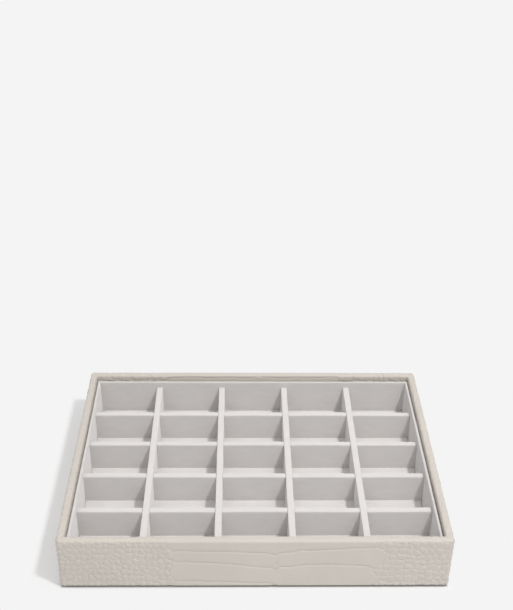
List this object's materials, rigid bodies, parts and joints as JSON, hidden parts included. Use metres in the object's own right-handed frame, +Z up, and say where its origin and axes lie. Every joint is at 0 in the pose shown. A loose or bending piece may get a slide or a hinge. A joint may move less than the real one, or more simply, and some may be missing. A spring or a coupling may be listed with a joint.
{
  "type": "jewelry tray",
  "caption": "Open stackable jewelry tray: embossed leather case with a velvet-lined grid of equal small compartments and a foot that nests in the rim of a like tray.",
  "frame": {"origin": "centre of the underside of the foot, on the surface that the tray stands on", "axes": "+X to the right along the long side, +Y from front to back, +Z up out of the open top"},
  "size_m": [0.25, 0.18, 0.041],
  "materials": {
    "embossed_leather": "cream leather with a crocodile emboss, satin",
    "velvet": "short-pile pale grey velvet",
    "foot_velvet": "short-pile pale grey velvet, flat",
    "board": "raw fibreboard",
    "card": "raw grey card",
    "foam": "white polyester wadding"
  },
  "bodies": {
    "root": {"front_board": "board", "back_board": "board", "left_board": "board", "right_board": "board", "base_board": "board", "leather_wrap": "embossed_leather", "foot_board": "card", "foot_velvet": "foot_velvet", "front_liner_card": "card", "front_liner_velvet": "velvet", "back_liner_card": "card", "back_liner_velvet": "velvet", "left_liner_card": "card", "left_liner_velvet": "velvet", "right_liner_card": "card", "right_liner_velvet": "velvet", "floor_card": "card", "floor_foam": "foam", "floor_velvet": "velvet", "width_divider_1_card": "card", "width_divider_1_velvet": "velvet", "width_divider_2_card": "card", "width_divider_2_velvet": "velvet", "width_divider_3_card": "card", "width_divider_3_velvet": "velvet", "width_divider_4_card": "card", "width_divider_4_velvet": "velvet", "depth_divider_1_card": "card", "depth_divider_1_velvet": "velvet", "depth_divider_2_card": "card", "depth_divider_2_velvet": "velvet", "depth_divider_3_card": "card", "depth_divider_3_velvet": "velvet", "depth_divider_4_card": "card", "depth_divider_4_velvet": "velvet"}
  },
  "joints": []
}
